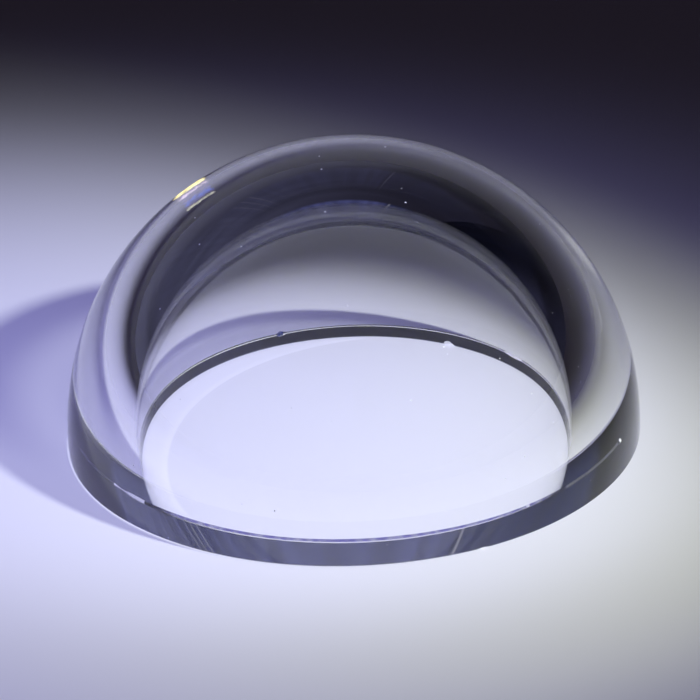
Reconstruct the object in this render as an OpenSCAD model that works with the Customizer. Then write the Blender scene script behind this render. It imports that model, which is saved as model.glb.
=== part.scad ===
// Clear glass dome: a hollow hemisphere with two polished spherical faces that share one centre,
// a flat ring-shaped seat and a narrow protective bevel on each edge of the seat.
// The origin is the spheres' common centre, which lies in the plane of the seat. +Z points to the crown.

/* [Dome] */
// Diameter of the outer spherical face
outer_d = 85; // [40:0.5:160]
// Thickness of the glass, the same from the crown to the seat
wall = 10; // [4:0.25:16]

/* [Edges] */
// Leg of the bevel round the outside of the seat
rim_bevel = 0.2; // [0.1:0.05:1]
// Leg of the bevel round the mouth of the cavity
mouth_bevel = 0.25; // [0.1:0.05:1]

/* [Hidden] */
$fn = 180;

outer_r = outer_d / 2;
inner_r = outer_r - wall;

// Everything above the seat that lies inside a cone opening upwards at 45 degrees. The cone leaves
// the dome's outer face alone except at its foot, where it cuts the bevel.
module rim_bevel_limit() {
    foot_r = outer_r - rim_bevel;
    cylinder(h = outer_r, r1 = foot_r, r2 = foot_r + outer_r);
}

// A cone closing upwards at 45 degrees. It meets the glass only at the mouth of the cavity, and its top
// stays inside the cavity.
module mouth_bevel_cutter() {
    cone_h = 3 * mouth_bevel;
    top_r = inner_r + mouth_bevel - cone_h;
    translate([0, 0, -mouth_bevel])
        cylinder(h = cone_h + mouth_bevel, r1 = inner_r + 2 * mouth_bevel, r2 = top_r);
}

module glass_dome() {
    color("lavender", 0.35)
        difference() {
            intersection() {
                sphere(r = outer_r);
                rim_bevel_limit();
            }
            sphere(r = inner_r);
            mouth_bevel_cutter();
        }
}

glass_dome();
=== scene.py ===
"""Clear glass dome: a hollow hemisphere of polished optical glass that stands on its flat ring-shaped seat.

The file is laid out as a Blender add-on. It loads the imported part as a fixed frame, takes every size from
it, builds the dome as one fine mesh with exact spherical normals, and sets it on a pale table in a dim
room.
"""
import math
from collections import namedtuple

import bpy
from bpy.props import FloatProperty, FloatVectorProperty, IntProperty, PointerProperty
from bpy.types import Operator, Panel, PropertyGroup
from mathutils import Matrix, Vector


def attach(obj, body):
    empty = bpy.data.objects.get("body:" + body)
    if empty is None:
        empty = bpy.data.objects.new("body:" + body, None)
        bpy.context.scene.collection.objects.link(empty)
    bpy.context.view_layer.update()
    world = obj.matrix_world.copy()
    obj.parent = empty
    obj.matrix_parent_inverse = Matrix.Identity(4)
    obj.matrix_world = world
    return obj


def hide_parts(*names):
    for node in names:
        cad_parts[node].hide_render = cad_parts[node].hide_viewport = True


bl_info = {
    "name": "Glass Dome",
    "version": (1, 0, 0),
    "blender": (4, 5, 0),
    "location": "View3D > Sidebar > Glass Dome",
    "description": "Builds a hollow dome of optical glass and the table it stands on",
    "category": "Add Mesh",
}

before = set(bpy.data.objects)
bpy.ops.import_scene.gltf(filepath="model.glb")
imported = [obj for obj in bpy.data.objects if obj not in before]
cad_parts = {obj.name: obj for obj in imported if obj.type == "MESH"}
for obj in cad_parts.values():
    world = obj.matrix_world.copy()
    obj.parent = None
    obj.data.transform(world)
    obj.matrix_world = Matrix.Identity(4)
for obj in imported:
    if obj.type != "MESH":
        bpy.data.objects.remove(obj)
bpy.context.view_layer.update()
NODE = "glass_dome"
BODY = "root"

MM = 0.001
FLAT = 0.001 * MM
PHOTO_PIXELS = 700

# The picture: the dome's outer radius, and how far its middle lies right of and below the middle
RADIUS_PIXELS = 283.9
MIDDLE_RIGHT_PIXELS = 3.75
MIDDLE_DOWN_PIXELS = 70.75

TABLE_WIDTH = 20.0
AIR_GAP = 0.05 * MM
GLASS_BOUNCES = 24

# Lamp light that crosses the dome: how much a ray keeps that meets the outer face squarely, at the slant
# where it grazes the cavity, and where it misses the cavity at the back and at the front of the dome
GRAZING_SLANT = 0.36
MISSING_SLANT = 0.62
SQUARE_SHARE = 0.92
GRAZING_SHARE = 0.38
MISSING_SHARE_BACK = 0.0
MISSING_SHARE_FRONT = 0.33
FRONT_TO_BACK = (-18 * MM, 8 * MM)

# Lamp light that crosses the inner face or a ground bevel: how much of it passes
INNER_FACE_SHARE = 0.93
GROUND_SHARE = 0.8

# The mesh's parts, in the order of its material slots
# The white mark part paints glints as well as frosted chips, the pale one paints glints of light along a
# bevel, and the flake's dark colour is painted shade
OUTER_FACE, RIM_BEVEL, SEAT_FACE, MOUTH_BEVEL, INNER_FACE, BRUISE_AND_GLINT, GLINTING_BEVEL, SHADED_FLAKE = range(8)

# A mark on a bevel, a frosted chip or a painted glint of the key lamp: its angle from +X and half width in
# degrees, how much wider it makes the leg, or narrower below 0, and the part that its face belongs to
# instead of the plain bevel
BevelMark = namedtuple("BevelMark", "at half_width depth part")
# Round the mouth: frosted chips, a painted white glint of the key lamp, and stretches painted paler as
# glints of light
MOUTH_MARKS = (
    BevelMark(58.5, 1.8, 0.60 * MM, BRUISE_AND_GLINT),
    BevelMark(-14.5, 0.7, 0.15 * MM, BRUISE_AND_GLINT),
    BevelMark(-145.4, 2.9, 0.05 * MM, BRUISE_AND_GLINT),
    BevelMark(-150.8, 2.6, -0.14 * MM, BRUISE_AND_GLINT),
    BevelMark(-160.0, 12.0, 0.0, GLINTING_BEVEL),
    BevelMark(-50.0, 0.5, 0.03 * MM, GLINTING_BEVEL),
    BevelMark(-27.0, 11.5, 0.0, GLINTING_BEVEL),
)
# Round the rim: a flake whose dark colour is painted shade, white marks for a painted glint and for chips,
# and a stretch painted paler as a line of light
RIM_MARKS = (
    BevelMark(109.5, 1.1, 0.50 * MM, SHADED_FLAKE),
    BevelMark(38.5, 3.5, 0.30 * MM, BRUISE_AND_GLINT),
    BevelMark(-67.0, 0.9, 0.12 * MM, BRUISE_AND_GLINT),
    BevelMark(-158.0, 26.0, 0.0, GLINTING_BEVEL),
)

# The hand-ground bevels swell and narrow in waves: how many go round, their share, and where they start
BEVEL_WAVES = ((3, 0.6, 0.7), (7, 0.4, -1.1))

# Ground glass: how fine its mottle is, where the mottle turns pale, and how pale
MOTTLE_SCALE = 900.0
MOTTLE_DETAIL = 3.0
MOTTLE_EDGE = (0.4, 0.7)
PALE_SHARE = 0.15
# White: frosted chips, and painted glints of the key lamp on the bevels
BRUISE_AND_GLINT_COLOUR = (1.0, 1.0, 1.0)
# Pale: painted glints of light along a bevel
GLINT_LINE_COLOUR = (0.6, 0.61, 0.72)
# Dark blue: painted shade in the flake on the rim
FLAKE_PAINTED_SHADE = (0.0, 0.01, 0.12)


def frame_sizes():
    """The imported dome's radii: its outer face, its inner face, and the two edges of its flat seat."""
    points = [vertex.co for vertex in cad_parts[NODE].data.vertices]
    seat = [point.xy.length for point in points if abs(point.z) < FLAT]
    outer = max(point.length for point in points)
    inner = min(point.length for point in points)
    return outer, inner, min(seat), max(seat)


OUTER_R, INNER_R, SEAT_INNER_R, SEAT_OUTER_R = frame_sizes()

# The left end of the seat, where its polish is less fine
DULL_END = (-41 * MM, -35 * MM)

# The painted crescent of light on the table under the dome lies outside this circle, with a crest along its
# edge
CAUGHT_MIDDLE = (0.212 * OUTER_R, -0.09 * OUTER_R, 0.0)
CAUGHT_RADIUS = 0.85 * OUTER_R
PAINTED_CAUSTIC_COLOUR = (0.91, 0.91, 0.93)
CAUGHT_EDGE = 0.2 * MM
CREST_WIDTH = 2 * MM
CREST_SHARE = 0.45
MOUTH_FADE = 1 * MM
TABLE_ROUGHNESS = 0.7

# The room: turns to the right of straight behind the dome and heights above its table, in radians. A pair
# says where a change begins and where it ends.
DOORWAY = (math.radians(28.2), math.radians(28.5))
DOORWAY_DARKNESS = 0.85
DARK_FOOT_TURN = (math.radians(3), math.radians(12))
DARK_FOOT_TOP = (math.radians(6), math.radians(11))
FOOT_DARKNESS = 0.9
FAR_FOOT_DARKNESS = 0.5
FAR_RIGHT = (math.radians(38), math.radians(54))
UPPER_WALL = (math.radians(34.5), math.radians(36.5))
LEFT_WALL_FOOT = (math.radians(20), math.radians(26))
LEFT_WALL_ENDS = (math.radians(-50), math.radians(-40))
RIGHT_WALL_FOOT = (math.radians(22), math.radians(27))
RIGHT_WALL_BEGINS = (math.radians(42), math.radians(52))
UPPER_LEFT_TO_RIGHT = (-0.3, 0.2)
WINDOW_TURN = (math.radians(-37), math.radians(12.2))
WINDOW_EDGE = 0.012
SLITS = [math.radians(turn) for turn in (-32.0, -29.2, -26.6, 12.4)]
SLIT_WIDTH = math.radians(0.8)
SLIT_LIGHT = (0.25, 0.25, 0.32, 1.0)
BLACK = (0.0, 0.0, 0.0, 1.0)
CEILING = (math.radians(44), math.radians(52))
CEILING_DARKNESS = 0.95

# The walls' tones: how far right a direction points where the left wall's tone becomes the right one's,
# then the level bands low down and the upright streaks higher up. Steps are for a radian of turn and of
# height.
LEFT_TO_RIGHT = (-0.65, 0.48)
BAND_STEPS = (1.2, 12.0)
BAND_DETAIL = 3.0
DARK_BAND = 0.35
STREAK_STEPS = (22.0, 2.0)
STREAK_DETAIL = 2.0
STREAK_EDGE = (0.35, 0.65)
DARK_STREAK = 0.6

# The rainbow glint: the card's corners, from the bright edge inwards, its colours across, and how they
# waver, flicker and fray. Steps are for the card's whole breadth and length.
GLINT_CORNERS = [
    (-32.5 * MM, 60 * MM, 17 * MM), (-26 * MM, 60 * MM, 22 * MM),
    (-44 * MM, 60 * MM, 60 * MM), (-56 * MM, 60 * MM, 55 * MM),
]
GOLD, LILAC, BLUE, CREAM = (0.85, 0.75, 0.32), (0.5, 0.4, 0.5), (0.01, 0.04, 0.3), (0.6, 0.6, 0.45)
DARK = (0.03, 0.02, 0.05)
RAINBOW = (
    (0.0, GOLD), (0.2, GOLD), (0.32, DARK), (0.43, LILAC), (0.5, DARK),
    (0.62, DARK), (0.76, BLUE), (0.88, DARK), (0.95, CREAM), (1.0, DARK),
)
GLINT_STRENGTH = (2.0, 4.6)
GLINT_DETAIL = 2.0
WAVER_STEPS = (3.0, 4.0)
WAVER = 0.16
FLICKER_STEPS = (6.0, 5.0)
FLICKER_EDGE = (0.25, 0.6)
FLICKER = (0.5, 1.3)
FRAY_STEPS = (9.0, 1.0)
FRAY = 0.4
FRAY_EDGE = 0.15

# The soft white glint on the right: its card's corners, its colour, and the share of the card it fades over
SOFT_GLINT_CORNERS = [
    (45 * MM, 57 * MM, 3 * MM), (45 * MM, 57 * MM, 28 * MM),
    (66 * MM, 50 * MM, 28 * MM), (66 * MM, 50 * MM, 3 * MM),
]
SOFT_GLINT_COLOUR = (0.42, 0.42, 0.43, 1.0)
SOFT_GLINT_FADE = 0.45


class DomeForm(PropertyGroup):
    """Sizes of the glass, and how finely its faces are drawn."""

    outer_radius: FloatProperty(
        name="Outer radius", description="Radius of the outer spherical face",
        default=OUTER_R, unit="LENGTH", precision=5)
    inner_radius: FloatProperty(
        name="Inner radius", description="Radius of the inner spherical face",
        default=INNER_R, unit="LENGTH", precision=5)
    rim_bevel: FloatProperty(
        name="Rim bevel", description="Leg of the bevel round the outside of the seat",
        default=OUTER_R - SEAT_OUTER_R, unit="LENGTH", precision=5)
    mouth_bevel: FloatProperty(
        name="Mouth bevel", description="Leg of the bevel round the mouth of the cavity",
        default=SEAT_INNER_R - INNER_R, unit="LENGTH", precision=5)
    hand_wander: FloatProperty(
        name="Bevel wander", description="Share by which the hand-ground bevels swell and narrow",
        default=0.22, min=0.0, max=0.5, subtype="FACTOR")
    segments: IntProperty(
        name="Segments", description="Faces round the dome", default=384, min=48)
    rings: IntProperty(
        name="Rings", description="Faces from the seat to the crown, on each spherical face",
        default=126, min=16)


class DomeFinish(PropertyGroup):
    """How the polished and the ground glass look."""

    refractive_index: FloatProperty(
        name="Refractive index", description="Of crown glass, in yellow light",
        default=1.5168, min=1.3, max=2.0)
    rim_colour: FloatVectorProperty(
        name="Rim bevel colour", description="Ground glass round the outside of the seat",
        default=(0.15, 0.15, 0.20), subtype="COLOR", min=0.0, max=1.0)
    # Painted fringe: the mouth bevel's violet tint stands for the violet into which the glass parts light
    # at that edge
    mouth_colour: FloatVectorProperty(
        name="Mouth bevel colour",
        description="Ground glass round the mouth, where it parts light into violet",
        default=(0.03, 0.025, 0.16), subtype="COLOR", min=0.0, max=1.0)
    bevel_roughness: FloatProperty(
        name="Bevel roughness", description="Ground glass of the bevels",
        default=0.12, subtype="FACTOR", min=0.0, max=1.0)
    dull_roughness: FloatProperty(
        name="Dull end roughness", description="Left end of the seat, which is polished less finely",
        default=0.42, subtype="FACTOR", min=0.0, max=1.0)
    dust_colour: FloatVectorProperty(
        name="Dust colour", description="Grains of dust on the polished faces",
        default=(0.75, 0.75, 0.80), subtype="COLOR", min=0.0, max=1.0)
    dust_roughness: FloatProperty(
        name="Dust roughness", description="Grains of dust on the polished faces",
        default=0.8, subtype="FACTOR", min=0.0, max=1.0)
    speck_spacing: FloatProperty(
        name="Speck spacing", description="Room that each grain of dust has to itself",
        default=2.5 * MM, unit="LENGTH", precision=5)
    speck_radius: FloatProperty(
        name="Speck radius", description="Of the largest grains of dust",
        default=0.13 * MM, unit="LENGTH", precision=5)


class DomeStage(PropertyGroup):
    """The table, the lamps, the dim room and the camera."""

    table_colour: FloatVectorProperty(
        name="Table colour", description="Plain pale table top",
        default=(0.80, 0.80, 0.82), subtype="COLOR", min=0.0, max=1.0)
    key_at: FloatVectorProperty(
        name="Key lamp", description="Place of the key lamp, in front on the right",
        default=(134.5 * MM, -110.9 * MM, 177.7 * MM), subtype="XYZ", unit="LENGTH")
    key_radius: FloatProperty(
        name="Key lamp's radius", description="Size of the key lamp, which softens the shadow's edge",
        default=8 * MM, unit="LENGTH", precision=5)
    warm_aim: FloatVectorProperty(
        name="Warm beam's aim", description="Point on the table that the key lamp's warm beam is turned to",
        default=(-24.9 * MM, 6.7 * MM, 0.0), subtype="XYZ", unit="LENGTH")
    warm_colour: FloatVectorProperty(
        name="Warm beam", description="Nearly white",
        default=(0.951, 1.0, 0.636), subtype="COLOR", min=0.0, max=1.0)
    warm_level: FloatProperty(
        name="Warm level", description="Brightness of the table where the warm beam points",
        default=0.279, min=0.0)
    warm_cone: FloatProperty(
        name="Warm cone", description="Width of the warm beam",
        default=math.radians(48.8), subtype="ANGLE")
    warm_fade: FloatProperty(
        name="Warm fade", description="Share of the warm beam that fades towards its edge",
        default=0.87, subtype="FACTOR", min=0.0, max=1.0)
    cool_aim: FloatVectorProperty(
        name="Cool beam's aim", description="Point on the table that the key lamp's cool beam is turned to",
        default=(-26.8 * MM, 17.6 * MM, 0.0), subtype="XYZ", unit="LENGTH")
    cool_colour: FloatVectorProperty(
        name="Cool beam", description="Bluish white",
        default=(0.644, 0.67, 1.0), subtype="COLOR", min=0.0, max=1.0)
    cool_level: FloatProperty(
        name="Cool level", description="Brightness of the table where the cool beam points",
        default=0.375, min=0.0)
    cool_cone: FloatProperty(
        name="Cool cone", description="Width of the cool beam",
        default=math.radians(35.3), subtype="ANGLE")
    cool_fade: FloatProperty(
        name="Cool fade", description="Share of the cool beam that fades towards its edge",
        default=0.98, subtype="FACTOR", min=0.0, max=1.0)
    fill_at: FloatVectorProperty(
        name="Fill lamp", description="Place of the fill lamp, on the left",
        default=(-91 * MM, -11 * MM, 169 * MM), subtype="XYZ", unit="LENGTH")
    fill_radius: FloatProperty(
        name="Fill lamp's radius", description="Size of the fill lamp",
        default=50 * MM, unit="LENGTH", precision=5)
    fill_aim: FloatVectorProperty(
        name="Fill lamp's aim", description="Point on the table that the fill lamp is turned to",
        default=(-91.3 * MM, -28 * MM, 0.0), subtype="XYZ", unit="LENGTH")
    fill_colour: FloatVectorProperty(
        name="Fill colour", description="Cool, towards lavender",
        default=(0.449, 0.435, 1.0), subtype="COLOR", min=0.0, max=1.0)
    fill_level: FloatProperty(
        name="Fill level", description="Brightness of the table where the fill lamp points",
        default=0.602, min=0.0)
    fill_cone: FloatProperty(
        name="Fill cone", description="Width of the fill lamp's beam",
        default=math.radians(113.5), subtype="ANGLE")
    fill_fade: FloatProperty(
        name="Fill fade", description="Share of the fill lamp's beam that fades towards its edge",
        default=0.67, subtype="FACTOR", min=0.0, max=1.0)
    room_left: FloatVectorProperty(
        name="Room on the left", description="Dim walls on the left",
        default=(0.044, 0.044, 0.082), subtype="COLOR", min=0.0, max=1.0)
    room_right: FloatVectorProperty(
        name="Room on the right", description="Dark walls on the right",
        default=(0.012, 0.011, 0.020), subtype="COLOR", min=0.0, max=1.0)
    room_far_right: FloatVectorProperty(
        name="Room on the far right", description="Dim wall past the doorway",
        default=(0.020, 0.020, 0.042), subtype="COLOR", min=0.0, max=1.0)
    room_window: FloatVectorProperty(
        name="Window", description="Dim window high on the far wall",
        default=(0.062, 0.068, 0.188), subtype="COLOR", min=0.0, max=1.0)
    room_upper_left: FloatVectorProperty(
        name="Upper wall on the left", description="Wall left of the window",
        default=(0.098, 0.104, 0.235), subtype="COLOR", min=0.0, max=1.0)
    room_upper_right: FloatVectorProperty(
        name="Upper wall on the right", description="Wall right of the window",
        default=(0.024, 0.030, 0.092), subtype="COLOR", min=0.0, max=1.0)
    room_ambient: FloatVectorProperty(
        name="Ambient", description="Light that the room sheds on the table",
        default=(0.0140, 0.0110, 0.0180), subtype="COLOR", min=0.0, max=1.0)
    camera_elevation: FloatProperty(
        name="Camera elevation", description="Angle at which the camera looks down",
        default=math.radians(26.9), subtype="ANGLE")
    camera_roll: FloatProperty(
        name="Camera roll", description="Tilt of the picture",
        default=math.radians(-2.25), subtype="ANGLE")
    camera_distance: FloatProperty(
        name="Camera distance", description="From the middle of the seat",
        default=7.4 * OUTER_R, unit="LENGTH")


class Link:
    """One output of a shader node. Arithmetic on it adds Math nodes to the same tree."""

    def __init__(self, paint, socket):
        self.paint = paint
        self.socket = socket

    def __add__(self, other):
        return self.paint.maths("ADD", self, other)

    def __sub__(self, other):
        return self.paint.maths("SUBTRACT", self, other)

    def __rsub__(self, other):
        return self.paint.maths("SUBTRACT", other, self)

    def __mul__(self, other):
        return self.paint.maths("MULTIPLY", self, other)

    def __lt__(self, other):
        return self.paint.maths("LESS_THAN", self, other)

    __radd__ = __add__
    __rmul__ = __mul__


class Paint:
    """A node tree that is being filled, for a material or for the world."""

    def __init__(self, owner):
        owner.use_nodes = True
        self.tree = owner.node_tree
        self.tree.nodes.clear()

    def node(self, kind, settings=None, sockets=None, output=0):
        """Adds a node, sets its own settings, then its sockets' values or links, and gives one output."""
        made = self.tree.nodes.new(kind)
        for name, value in (settings or {}).items():
            if name == "stops":
                self.set_stops(made.color_ramp.elements, value)
            else:
                setattr(made, name, value)
        for name, value in (sockets or {}).items():
            if isinstance(value, Link):
                self.tree.links.new(value.socket, made.inputs[name])
            else:
                made.inputs[name].default_value = value
        return Link(self, made.outputs[output]) if made.outputs else None

    def set_stops(self, elements, stops):
        """Gives a colour ramp its stops: pairs of place and colour, in order."""
        while len(elements) < len(stops):
            elements.new(1.0)
        for element, (place, colour) in zip(elements, stops):
            element.position = place
            element.color = opaque(colour)

    def maths(self, operation, *values):
        """A number worked out from others, each a link or a plain number."""
        return self.node("ShaderNodeMath", {"operation": operation}, dict(enumerate(values)))

    def blend(self, low, high, share):
        """A colour between two others."""
        sockets = {"Factor": share, 6: low, 7: high}
        return self.node("ShaderNodeMix", {"data_type": "RGBA"}, sockets, output=2)

    def ramp(self, value, low, high):
        """0 below low, 1 above high and a smooth rise between them."""
        return self.node(
            "ShaderNodeMapRange", {"interpolation_type": "SMOOTHSTEP"},
            {"Value": value, "From Min": low, "From Max": high})

    def window(self, value, low, high, soft):
        """1 between low and high, 0 outside, with a smooth edge of the given width."""
        return self.ramp(value, low, low + soft) * (1 - self.ramp(value, high - soft, high))

    def between(self, low, high, share):
        """A number between two others."""
        return (high - low) * share + low

    def place(self):
        """The point on the surface, in the part's own frame."""
        return self.node("ShaderNodeTexCoord", output="Object")

    def axes(self, vector):
        """A vector's three numbers."""
        return [self.node("ShaderNodeSeparateXYZ", {}, {0: vector}, output=axis) for axis in "XYZ"]

    def distance(self, point, other):
        """How far a point lies from another."""
        settings = {"operation": "DISTANCE"}
        return self.node("ShaderNodeVectorMath", settings, {0: point, 1: other}, output="Value")

    def noise(self, across, along, steps, detail):
        """Even noise over two numbers, with so many steps for each unit of the one and of the other."""
        where = self.node("ShaderNodeCombineXYZ", {}, {"X": across * steps[0], "Y": along * steps[1]})
        return self.node("ShaderNodeTexNoise", {}, {"Vector": where, "Scale": 1.0, "Detail": detail})

    def finish(self, kind, surface):
        """Sends a shader to the tree's output node."""
        self.node(kind, {}, {"Surface": surface})


def opaque(colour):
    """A colour with full alpha, as colour sockets take it."""
    return (*colour, 1.0)


def new_material(name):
    """An empty node material and the tree to fill."""
    material = bpy.data.materials.new(name)
    return material, Paint(material)


def light_past_dome(paint):
    """The share of a lamp's light that reaches the table behind the dome.

    Rays through the cavity pass and are spread the more, the more slanting they meet the outer face. Rays
    that miss the cavity are bent aside by the wall, all but a little that spills past the dome's front. The
    share is taken once, on the side where the ray leaves, so the table under the dome keeps its full light.
    """
    slant = paint.node("ShaderNodeLayerWeight", output="Facing")
    _, back, _ = paint.axes(paint.place())
    crossed = paint.between(SQUARE_SHARE, GRAZING_SHARE, paint.ramp(slant, 0.0, GRAZING_SLANT))
    spilled = paint.between(MISSING_SHARE_FRONT, MISSING_SHARE_BACK, paint.ramp(back, *FRONT_TO_BACK))
    share = paint.between(crossed, spilled, paint.ramp(slant, GRAZING_SLANT, MISSING_SLANT))
    return paint.between(share, 1.0, paint.node("ShaderNodeNewGeometry", output="Backfacing"))


def clear_to_lamps(paint, glass, tint, share=None):
    """Sends the glass to the output, with rays from lamps passing straight through it, dimmed by tint.

    Where only a share of them passes, the share may vary over the surface.
    """
    through = paint.node("ShaderNodeBsdfTransparent", {}, {"Color": opaque([tint] * 3)})
    passed = paint.node("ShaderNodeLightPath", output="Is Shadow Ray")
    if share is not None:
        passed = passed * share
    surface = paint.node("ShaderNodeMixShader", {}, {0: passed, 1: glass, 2: through})
    paint.finish("ShaderNodeOutputMaterial", surface)


def specks(paint, finish):
    """Tiny grains of dust on the glass: 1 in each, 0 elsewhere."""
    scale = 1 / finish.speck_spacing
    settings = {"feature": "F1"}
    sockets = {"Vector": paint.place(), "Scale": scale}
    distance = paint.node("ShaderNodeTexVoronoi", settings, sockets, output="Distance")
    own = paint.node("ShaderNodeTexVoronoi", settings, sockets, output="Color")
    size = paint.node("ShaderNodeSeparateColor", {}, {"Color": own}, output="Red")
    return distance < size * size * (finish.speck_radius * scale)


def polished_glass(name, finish, dims_lamps):
    """Clear polished glass with a few grains of dust."""
    material, paint = new_material(name)
    glass = paint.node("ShaderNodeBsdfPrincipled", {}, {
        "Base Color": (1.0, 1.0, 1.0, 1.0),
        "Roughness": 0.0,
        "IOR": finish.refractive_index,
        "Transmission Weight": 1.0,
    })
    dust = paint.node("ShaderNodeBsdfPrincipled", {}, {
        "Base Color": opaque(finish.dust_colour),
        "Roughness": finish.dust_roughness,
    })
    dusty = paint.node("ShaderNodeMixShader", {}, {0: specks(paint, finish), 1: glass, 2: dust})
    if dims_lamps:
        clear_to_lamps(paint, dusty, 1.0, light_past_dome(paint))
    else:
        clear_to_lamps(paint, dusty, INNER_FACE_SHARE)
    return material


def ground_glass(name, finish, colour, clearness):
    """Ground glass of a bevel or of a mark on it, finely mottled; the marks' colours paint glints and
    shade.
    """
    material, paint = new_material(name)
    mottle = paint.node("ShaderNodeTexNoise", {}, {
        "Vector": paint.place(),
        "Scale": MOTTLE_SCALE,
        "Detail": MOTTLE_DETAIL,
    })
    pale = [PALE_SHARE + (1 - PALE_SHARE) * channel for channel in colour]
    glass = paint.node("ShaderNodeBsdfPrincipled", {}, {
        "Base Color": paint.blend(opaque(colour), opaque(pale), paint.ramp(mottle, *MOTTLE_EDGE)),
        "Roughness": finish.bevel_roughness,
        "IOR": finish.refractive_index,
        "Transmission Weight": clearness,
    })
    clear_to_lamps(paint, glass, GROUND_SHARE)
    return material


def polished_seat(finish):
    """Polished glass of the seat, duller at its left end."""
    material, paint = new_material("polished_seat")
    right, _, _ = paint.axes(paint.place())
    dull = 1 - paint.ramp(right, *DULL_END)
    glass = paint.node("ShaderNodeBsdfPrincipled", {}, {
        "Base Color": (1.0, 1.0, 1.0, 1.0),
        "Roughness": dull * finish.dull_roughness,
        "IOR": finish.refractive_index,
        "Transmission Weight": 1.0,
    })
    clear_to_lamps(paint, glass, 1.0)
    return material


def mark_offset(mark, angle):
    """Where an angle round the dome lies in a mark on a bevel: 0 in its middle, 1 or -1 at its ends."""
    off = (angle - math.radians(mark.at) + math.pi) % (2 * math.pi) - math.pi
    return off / math.radians(mark.half_width)


def bevel_leg(size, wander, angle, marks):
    """A hand-ground bevel's leg at one angle round the dome, changed at its marks: wider where a chip has
    gone from its edge, and wider or narrower where a painted glint lies.
    """
    swell = sum(share * math.sin(waves * angle + start) for waves, share, start in BEVEL_WAVES)
    widened = [mark.depth * max(0.0, 1 - mark_offset(mark, angle) ** 2) for mark in marks]
    return size * (1 + wander * swell) + sum(widened)


def bevel_part(plain, angle, marks):
    """The part that a bevel's face belongs to at one angle round the dome."""
    for mark in marks:
        if abs(mark_offset(mark, angle)) < 1:
            return mark.part
    return plain


def meridian(form, angle):
    """One half outline of the wall at an angle round the dome, from the crown down, across the seat and up
    the cavity: pairs of radius and height, without the two points at the crown.
    """
    rim = bevel_leg(form.rim_bevel, form.hand_wander, angle, RIM_MARKS)
    mouth = bevel_leg(form.mouth_bevel, form.hand_wander, angle, MOUTH_MARKS)
    crown = math.pi / 2
    outer_foot = math.asin(rim / form.outer_radius)
    inner_foot = math.asin(mouth / form.inner_radius)
    steps = [step / form.rings for step in range(1, form.rings + 1)]
    outer = [crown + (outer_foot - crown) * step for step in steps]
    inner = [crown + (inner_foot - crown) * step for step in reversed(steps)]
    points = [(form.outer_radius * math.cos(a), form.outer_radius * math.sin(a)) for a in outer]
    points.append((form.outer_radius - rim, 0.0))
    points.append((form.inner_radius + mouth, 0.0))
    points += [(form.inner_radius * math.cos(a), form.inner_radius * math.sin(a)) for a in inner]
    return points


def dome_mesh(form):
    """The wall as one closed mesh, meridian by meridian, with the exact normals of its two spheres."""
    angles = [2 * math.pi * step / form.segments for step in range(form.segments)]
    outlines = [meridian(form, angle) for angle in angles]
    rows = len(outlines[0])
    vertices = [
        (radius * math.cos(angle), radius * math.sin(angle), height)
        for angle, outline in zip(angles, outlines)
        for radius, height in outline
    ]
    crown_outside = len(vertices)
    crown_inside = crown_outside + 1
    vertices += [(0.0, 0.0, form.outer_radius), (0.0, 0.0, form.inner_radius)]
    faces, slots = [], []
    for segment in range(form.segments):
        middle = angles[segment] + math.pi / form.segments
        rim = bevel_part(RIM_BEVEL, middle, RIM_MARKS)
        mouth = bevel_part(MOUTH_BEVEL, middle, MOUTH_MARKS)
        sphere = form.rings - 1
        kinds = [OUTER_FACE] * sphere + [rim, SEAT_FACE, mouth] + [INNER_FACE] * sphere
        here = segment * rows
        there = (segment + 1) % form.segments * rows
        faces.append((crown_outside, here, there))
        slots.append(OUTER_FACE)
        for row, kind in enumerate(kinds):
            faces.append((here + row, here + row + 1, there + row + 1, there + row))
            slots.append(kind)
        faces.append((here + rows - 1, crown_inside, there + rows - 1))
        slots.append(INNER_FACE)
    mesh = bpy.data.meshes.new(NODE)
    mesh.from_pydata(vertices, [], faces)
    mesh.polygons.foreach_set("material_index", slots)
    mesh.polygons.foreach_set("use_smooth", [True] * len(faces))
    mesh.update()
    away = {OUTER_FACE: 1.0, INNER_FACE: -1.0}
    normals = []
    for face in mesh.polygons:
        side = away.get(face.material_index)
        for index in face.vertices:
            radial = mesh.vertices[index].co.normalized()
            normals.append(face.normal if side is None else side * radial)
    mesh.normals_split_custom_set(normals)
    return mesh


class DOME_OT_glass(Operator):
    """Builds the dome: two polished spherical faces, a polished seat and two ground bevels"""

    bl_idname = "dome.glass"
    bl_label = "Glass dome"
    bl_options = {"REGISTER", "UNDO"}

    def execute(self, context):
        form = context.scene.dome_form
        finish = context.scene.dome_finish
        mesh = dome_mesh(form)
        slots = {
            OUTER_FACE: polished_glass("polished_outer_face", finish, dims_lamps=True),
            RIM_BEVEL: ground_glass("ground_rim_bevel", finish, finish.rim_colour, clearness=1.0),
            SEAT_FACE: polished_seat(finish),
            # The mouth bevel's violet is a painted fringe of parted light
            MOUTH_BEVEL: ground_glass("ground_mouth_bevel", finish, finish.mouth_colour, clearness=1.0),
            INNER_FACE: polished_glass("polished_inner_face", finish, dims_lamps=False),
            # The white mark paints glints of the key lamp as well as frosted chips
            BRUISE_AND_GLINT: ground_glass("bruised_edge_and_glint", finish, BRUISE_AND_GLINT_COLOUR, clearness=0.15),
            # The pale stretches of bevel are painted glints of light along it
            GLINTING_BEVEL: ground_glass("glinting_bevel", finish, GLINT_LINE_COLOUR, clearness=0.9),
            # The flake's opaque dark blue is painted shade
            SHADED_FLAKE: ground_glass("flaked_edge_painted_shade", finish, FLAKE_PAINTED_SHADE, clearness=0.0),
        }
        for part in sorted(slots):
            mesh.materials.append(slots[part])
        dome = bpy.data.objects.new("dome_glass", mesh)
        context.scene.collection.objects.link(dome)
        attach(dome, BODY)
        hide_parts(NODE)
        return {"FINISHED"}


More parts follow.
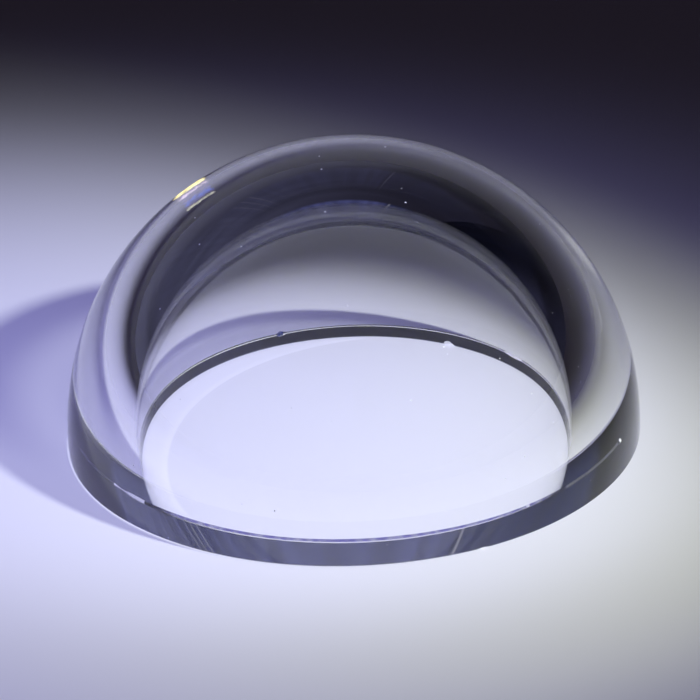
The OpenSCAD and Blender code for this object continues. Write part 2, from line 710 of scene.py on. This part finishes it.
def spot_lamp(context, name, at, target, colour, level, albedo, cone, fade, radius, casts_shadow):
    """A spot lamp that makes a table of that albedo as bright as level where the lamp points.

    It is kept out of mirror images in the glass, where its small disc would only show as a white dot.
    """
    reach = Vector(at) - Vector(target)
    slope = reach.z / reach.length
    light = bpy.data.lights.new(name, "SPOT")
    # A spot lamp's power counts for a whole sphere, and a matt table spreads what it gets over pi
    light.energy = level / albedo / slope * math.pi * 4 * math.pi * reach.length_squared
    light.color = colour
    light.spot_size = cone
    light.spot_blend = fade
    light.shadow_soft_size = radius
    light.use_shadow = casts_shadow
    lamp = bpy.data.objects.new(name, light)
    context.scene.collection.objects.link(lamp)
    lamp.location = at
    lamp.rotation_mode = "QUATERNION"
    lamp.rotation_quaternion = reach.to_track_quat("Z", "Y")
    lamp.visible_glossy = False
    lamp.visible_transmission = False


def table_top(context, stage):
    """A plain pale table under the seat, a hair's breadth below it so that air stays between them.

    Under the dome, opposite the key lamp, it is painted lighter in a crescent, a painted caustic of the
    light that the cavity's wall turns back.
    """
    half = TABLE_WIDTH / 2
    corners = [(x, y, -AIR_GAP) for x, y in ((-half, -half), (half, -half), (half, half), (-half, half))]
    mesh = bpy.data.meshes.new("table_top")
    mesh.from_pydata(corners, [], [(0, 1, 2, 3)])
    material, paint = new_material("pale_table")
    place = paint.place()
    from_middle = paint.distance(place, (0.0, 0.0, 0.0))
    from_arc = paint.distance(place, CAUGHT_MIDDLE)
    caught = paint.ramp(from_arc, CAUGHT_RADIUS - CAUGHT_EDGE, CAUGHT_RADIUS + CAUGHT_EDGE)
    crest = caught * (1 - paint.ramp(from_arc, CAUGHT_RADIUS, CAUGHT_RADIUS + CREST_WIDTH))
    under_dome = 1 - paint.ramp(from_middle, INNER_R - MOUTH_FADE, INNER_R)
    # Painted caustic: the table's colour is lighter in the crescent and lighter still at its crest
    bright = (caught * (1 - CREST_SHARE) + crest * CREST_SHARE) * under_dome
    matt = paint.node("ShaderNodeBsdfPrincipled", {}, {
        "Base Color": paint.blend(opaque(stage.table_colour), opaque(PAINTED_CAUSTIC_COLOUR), bright),
        "Roughness": TABLE_ROUGHNESS,
        "Specular IOR Level": 0.0,
    })
    paint.finish("ShaderNodeOutputMaterial", matt)
    mesh.materials.append(material)
    table = bpy.data.objects.new("table_top", mesh)
    context.scene.collection.objects.link(table)


def lower_walls(paint, stage, turn, height, right):
    """Dark walls with faint level bands, lighter on the left and on the far right.

    Right of the middle the foot of the far wall is darker, and so is the doorway farther right.
    """
    across = paint.ramp(right, *LEFT_TO_RIGHT)
    walls = paint.blend(opaque(stage.room_left), opaque(stage.room_right), across)
    far_right = paint.ramp(turn, *FAR_RIGHT)
    walls = paint.blend(walls, opaque(stage.room_far_right), far_right)
    bands = paint.noise(turn, height, BAND_STEPS, BAND_DETAIL)
    doorway = paint.ramp(turn, *DOORWAY)
    foot = paint.ramp(turn, *DARK_FOOT_TURN) * (1 - paint.ramp(height, *DARK_FOOT_TOP))
    near = (1 - doorway * DOORWAY_DARKNESS) * (1 - foot * FOOT_DARKNESS)
    light = paint.between(near, 1 - foot * FAR_FOOT_DARKNESS, far_right)
    return paint.blend(BLACK, walls, (DARK_BAND + bands) * light)


def upper_walls(paint, stage, turn, height):
    """Streaky walls high up, with a dim window in the middle and a few bright slits."""
    across = paint.ramp(turn, *UPPER_LEFT_TO_RIGHT)
    walls = paint.blend(opaque(stage.room_upper_left), opaque(stage.room_upper_right), across)
    window = paint.window(turn, *WINDOW_TURN, WINDOW_EDGE)
    walls = paint.blend(walls, opaque(stage.room_window), window)
    streaks = paint.ramp(paint.noise(turn, height, STREAK_STEPS, STREAK_DETAIL), *STREAK_EDGE)
    walls = paint.blend(BLACK, walls, paint.between(DARK_STREAK, 1.0, streaks))
    for slit in SLITS:
        walls = paint.blend(walls, SLIT_LIGHT, paint.window(turn, slit, slit + SLIT_WIDTH, SLIT_WIDTH / 2))
    return walls


def dim_room(context, stage):
    """A dark room that the glass mirrors and shows. On the table it sheds only an even, dim light."""
    world = bpy.data.worlds.new("dim_room")
    context.scene.world = world
    paint = Paint(world)
    right, ahead, up = paint.axes(paint.node("ShaderNodeTexCoord", output="Generated"))
    turn = paint.maths("ARCTAN2", right, ahead)
    height = paint.maths("ARCSINE", up)

    left_wall = paint.ramp(height, *LEFT_WALL_FOOT) * (1 - paint.ramp(turn, *LEFT_WALL_ENDS))
    right_wall = paint.ramp(height, *RIGHT_WALL_FOOT) * paint.ramp(turn, *RIGHT_WALL_BEGINS)
    high = paint.maths("MAXIMUM", left_wall + right_wall, paint.ramp(height, *UPPER_WALL))
    lower = lower_walls(paint, stage, turn, height, right)
    walls = paint.blend(lower, upper_walls(paint, stage, turn, height), high)
    walls = paint.blend(walls, BLACK, paint.ramp(height, *CEILING) * CEILING_DARKNESS)

    kinds = ("Is Camera Ray", "Is Glossy Ray", "Is Transmission Ray")
    straight, mirrored, through = [paint.node("ShaderNodeLightPath", output=kind) for kind in kinds]
    shown = paint.blend(opaque(stage.room_ambient), walls, straight + mirrored + through)
    paint.finish("ShaderNodeOutputWorld", paint.node("ShaderNodeBackground", {}, {"Color": shown}))


def show_card(paint, lit, shown):
    """Sends a card's light to the output, and nothing where the card isn't shown."""
    clear = paint.node("ShaderNodeBsdfTransparent")
    surface = paint.node("ShaderNodeMixShader", {}, {0: shown, 1: clear, 2: lit})
    paint.finish("ShaderNodeOutputMaterial", surface)


def rainbow_glint():
    """Bands of colour across a card, ragged at its ends.

    They stand for the colours into which the glass parts the key lamp's light on its way round the wall.
    """
    material, paint = new_material("rainbow_glint")
    across, along, _ = paint.axes(paint.node("ShaderNodeTexCoord", output="UV"))
    waver = paint.noise(across, along, WAVER_STEPS, GLINT_DETAIL)
    flicker = paint.noise(across, along, FLICKER_STEPS, GLINT_DETAIL)
    fray = paint.noise(across, along, FRAY_STEPS, GLINT_DETAIL)
    wavy = across + (waver - 0.5) * WAVER
    colour = paint.node("ShaderNodeValToRGB", {"stops": RAINBOW}, {"Fac": wavy}, output="Color")
    strength = paint.between(*GLINT_STRENGTH, across)
    strength = strength * paint.between(*FLICKER, paint.ramp(flicker, *FLICKER_EDGE))
    lit = paint.node("ShaderNodeEmission", {}, {"Color": colour, "Strength": strength})
    ragged = along + (fray - 0.5) * FRAY
    show_card(paint, lit, paint.window(ragged, 0.0, 1.0, FRAY_EDGE))
    return material


def soft_glint():
    """A dim white glowing patch, a painted highlight, that fades towards the edges of its card."""
    material, paint = new_material("soft_glint")
    across, along, _ = paint.axes(paint.node("ShaderNodeTexCoord", output="UV"))
    lit = paint.node("ShaderNodeEmission", {}, {"Color": SOFT_GLINT_COLOUR})
    shown = [paint.window(way, 0.0, 1.0, SOFT_GLINT_FADE) for way in (across, along)]
    show_card(paint, lit, shown[0] * shown[1])
    return material


def mirrored_card(context, name, corners, material):
    """A glowing card behind the dome, though no lamp, that only mirror images show near the outline of the
    outer face, as a painted glint.
    """
    mesh = bpy.data.meshes.new(name)
    mesh.from_pydata(corners, [], [(0, 1, 2, 3)])
    layer = mesh.uv_layers.new(name="across_along")
    for corner, uv in zip(layer.data, ((0, 0), (0, 1), (1, 1), (1, 0))):
        corner.uv = uv
    material.cycles.emission_sampling = "NONE"
    mesh.materials.append(material)
    card = bpy.data.objects.new(name, mesh)
    context.scene.collection.objects.link(card)
    card.visible_camera = False
    card.visible_diffuse = False
    card.visible_transmission = False
    card.visible_shadow = False


def photo_camera(context, stage, outer_radius):
    """The camera at the photograph's viewing angle, with the dome framed as there."""
    tilt, roll = stage.camera_elevation, stage.camera_roll
    back = Vector((0.0, -math.cos(tilt), math.sin(tilt)))
    right = Vector((1.0, 0.0, 0.0))
    up = back.cross(right)
    across = math.cos(roll) * right + math.sin(roll) * up
    upward = math.cos(roll) * up - math.sin(roll) * right
    turn = Matrix((across, upward, back)).transposed().to_4x4()
    data = bpy.data.cameras.new("photo_camera")
    data.lens = data.sensor_width * RADIUS_PIXELS / PHOTO_PIXELS * stage.camera_distance / outer_radius
    data.shift_x = -MIDDLE_RIGHT_PIXELS / PHOTO_PIXELS
    data.shift_y = MIDDLE_DOWN_PIXELS / PHOTO_PIXELS
    data.clip_start = MM
    camera = bpy.data.objects.new("photo_camera", data)
    context.scene.collection.objects.link(camera)
    camera.matrix_world = Matrix.Translation(back * stage.camera_distance) @ turn
    context.scene.camera = camera


class DOME_OT_stage(Operator):
    """Sets the dome on a pale table under two lamps, in a dim room, and frames it"""

    bl_idname = "dome.stage"
    bl_label = "Table, lamps and camera"
    bl_options = {"REGISTER", "UNDO"}

    def execute(self, context):
        scene = context.scene
        stage = scene.dome_stage
        albedo = sum(stage.table_colour) / 3
        table_top(context, stage)
        dim_room(context, stage)
        mirrored_card(context, "glint_card", GLINT_CORNERS, rainbow_glint())
        mirrored_card(context, "soft_card", SOFT_GLINT_CORNERS, soft_glint())
        spot_lamp(
            context, "key_warm_beam", stage.key_at, stage.warm_aim, stage.warm_colour, stage.warm_level,
            albedo, stage.warm_cone, stage.warm_fade, stage.key_radius, casts_shadow=True)
        spot_lamp(
            context, "key_cool_beam", stage.key_at, stage.cool_aim, stage.cool_colour, stage.cool_level,
            albedo, stage.cool_cone, stage.cool_fade, stage.key_radius, casts_shadow=True)
        spot_lamp(
            context, "fill_lamp", stage.fill_at, stage.fill_aim, stage.fill_colour, stage.fill_level,
            albedo, stage.fill_cone, stage.fill_fade, stage.fill_radius, casts_shadow=False)
        photo_camera(context, stage, scene.dome_form.outer_radius)
        scene.view_settings.view_transform = "Standard"
        scene.cycles.max_bounces = GLASS_BOUNCES
        scene.cycles.transmission_bounces = GLASS_BOUNCES
        scene.cycles.glossy_bounces = GLASS_BOUNCES
        scene.cycles.transparent_max_bounces = GLASS_BOUNCES
        return {"FINISHED"}


class DOME_PT_sidebar(Panel):
    """Lists the dome's settings and the steps that build it"""

    bl_idname = "DOME_PT_sidebar"
    bl_label = "Glass Dome"
    bl_space_type = "VIEW_3D"
    bl_region_type = "UI"
    bl_category = "Glass Dome"

    def draw(self, context):
        layout = self.layout
        for step, group in STEPS:
            column = layout.column(align=True)
            for group_name in group:
                settings = getattr(context.scene, group_name)
                for name in settings.__annotations__:
                    column.prop(settings, name)
            column.operator(step.bl_idname)


GROUPS = {"dome_form": DomeForm, "dome_finish": DomeFinish, "dome_stage": DomeStage}
STEPS = ((DOME_OT_glass, ("dome_form", "dome_finish")), (DOME_OT_stage, ("dome_stage",)))
CLASSES = (*GROUPS.values(), DOME_OT_glass, DOME_OT_stage, DOME_PT_sidebar)


def register():
    for made in CLASSES:
        bpy.utils.register_class(made)
    for name, group in GROUPS.items():
        setattr(bpy.types.Scene, name, PointerProperty(type=group))


def unregister():
    for name in GROUPS:
        delattr(bpy.types.Scene, name)
    for made in reversed(CLASSES):
        bpy.utils.unregister_class(made)


def main():
    register()
    bpy.ops.dome.glass()
    bpy.ops.dome.stage()


if __name__ == "__main__":
    main()
